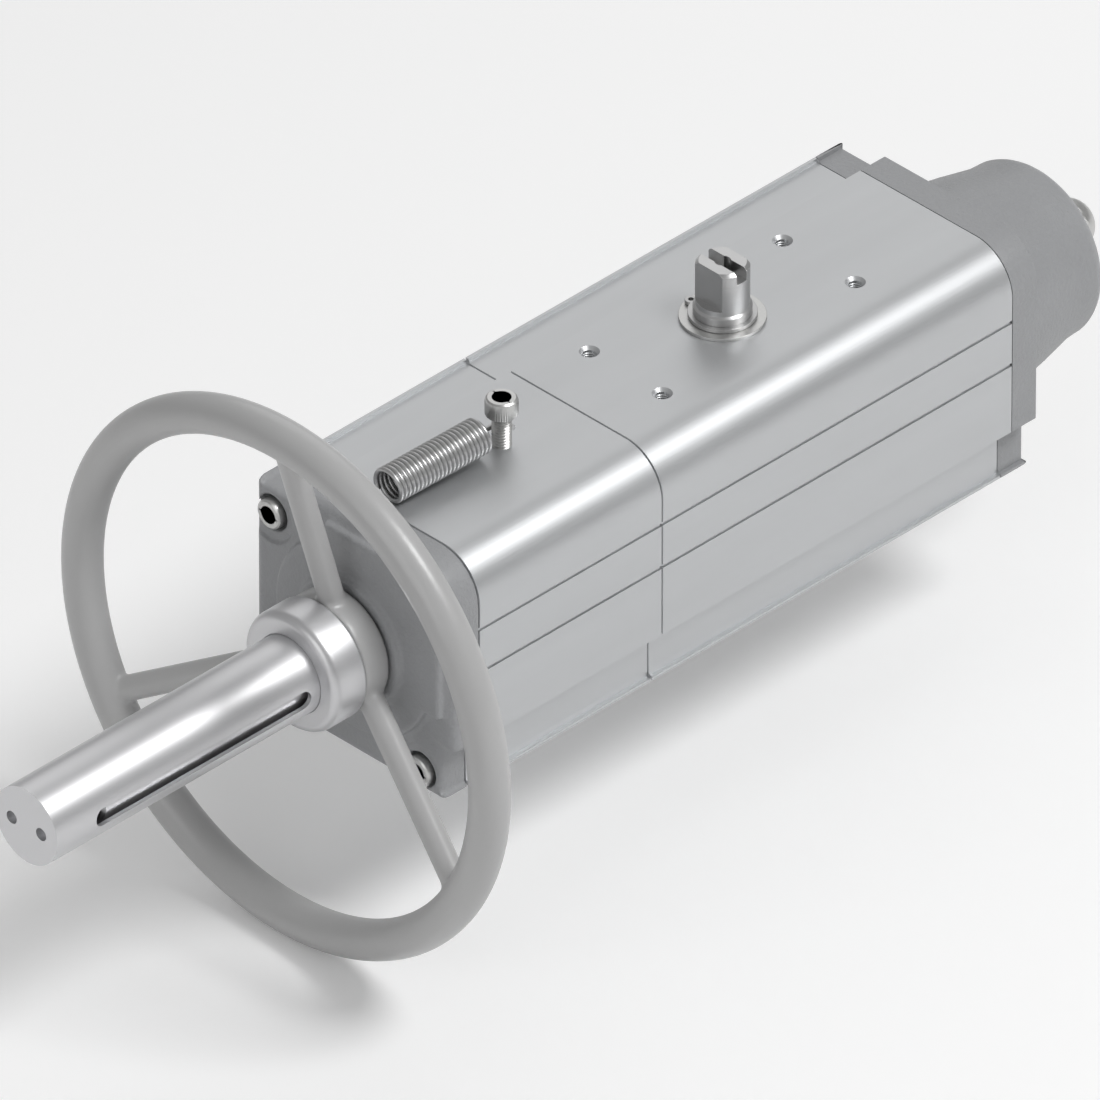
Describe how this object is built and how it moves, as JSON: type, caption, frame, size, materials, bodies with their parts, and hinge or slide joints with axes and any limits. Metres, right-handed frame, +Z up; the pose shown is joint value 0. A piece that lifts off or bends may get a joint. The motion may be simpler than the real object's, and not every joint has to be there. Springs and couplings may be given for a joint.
{
  "type": "pneumatic quarter-turn actuator",
  "caption": "Double-acting rack and pinion quarter-turn actuator with an extension housing and a handwheel override, slotted shaft end on top and valve flange below.",
  "frame": {"origin": "drive shaft's axis where it meets the valve mounting face", "axes": "+Z up the drive shaft to its slotted end, +X along the cylinder to the domed cap, -Y the grooved front"},
  "size_m": [0.4375, 0.1806, 0.1806],
  "materials": {
    "housing": "satin anodised",
    "cap": "fine powder coat",
    "zinc_steel": "zinc plated",
    "spring_steel": "drawn wire",
    "shaft_steel": "nickel plated",
    "turned_steel": "fine turned",
    "wheel": "smooth stove enamel",
    "bronze": "turned",
    "piston_alloy": "as cast, machined",
    "acetal": "machined",
    "rubber": "moulded"
  },
  "bodies": {
    "housing": {"main_housing": "housing", "lower_bush": "acetal", "upper_bush": "acetal", "shaft_washer": "turned_steel", "right_cap": "cap", "right_cap_ring": "rubber", "cap_screws": "zinc_steel", "stop_screw": "zinc_steel", "stop_washer": "rubber", "stop_cap_nut": "zinc_steel", "extension_housing": "housing", "bulkhead": "piston_alloy", "bulkhead_ring": "rubber", "rod_seal": "rubber", "left_cover": "cap", "cover_ring": "rubber", "tie_screws": "zinc_steel", "nut_retainer": "turned_steel", "thrust_washers": "bronze", "spring_screw": "zinc_steel", "tension_spring": "spring_steel"},
    "shaft": {"drive_shaft": "shaft_steel", "shaft_circlip": "spring_steel", "shaft_rings": "rubber"},
    "left_piston": {"left_piston": "piston_alloy", "left_piston_ring": "rubber", "left_piston_band": "acetal", "left_rack_pad": "acetal"},
    "right_piston": {"right_piston": "piston_alloy", "right_piston_ring": "rubber", "right_piston_band": "acetal", "right_rack_pad": "acetal"},
    "stem": {"stem": "shaft_steel", "guide_disc": "piston_alloy", "guide_key": "shaft_steel", "guide_nut": "zinc_steel", "push_rod": "shaft_steel"},
    "handwheel": {"handwheel": "wheel", "drive_nut": "bronze", "hub_key": "zinc_steel", "clamp_collar": "turned_steel", "spindle_cover": "turned_steel"}
  },
  "joints": [
    {"name": "handwheel_turn", "type": "hinge", "parent": "housing", "child": "handwheel", "pos_m": [-0.155, 0, 0.043], "axis": [1, 0, 0], "range_deg": [0, 2120]},
    {"name": "stem_slide", "type": "slide", "parent": "housing", "child": "stem", "axis": [1, 0, 0], "range_m": [0, 0.02356]},
    {"name": "left_piston_slide", "type": "slide", "parent": "housing", "child": "left_piston", "axis": [1, 0, 0], "range_m": [0, 0.02356]},
    {"name": "right_piston_slide", "type": "slide", "parent": "housing", "child": "right_piston", "axis": [-1, 0, 0], "range_m": [0, 0.02356]},
    {"name": "shaft_turn", "type": "hinge", "parent": "housing", "child": "shaft", "pos_m": [0, 0, 0.043], "axis": [0, 0, 1], "range_deg": [0, 90]}
  ],
  "couplings": [
    {"joint": "stem_slide", "follows": "handwheel_turn", "m_per_rad": 0.00063662},
    {"joint": "left_piston_slide", "follows": "handwheel_turn", "m_per_rad": 0.00063662},
    {"joint": "right_piston_slide", "follows": "handwheel_turn", "m_per_rad": 0.00063662},
    {"joint": "shaft_turn", "follows": "handwheel_turn", "ratio": 0.042441}
  ]
}
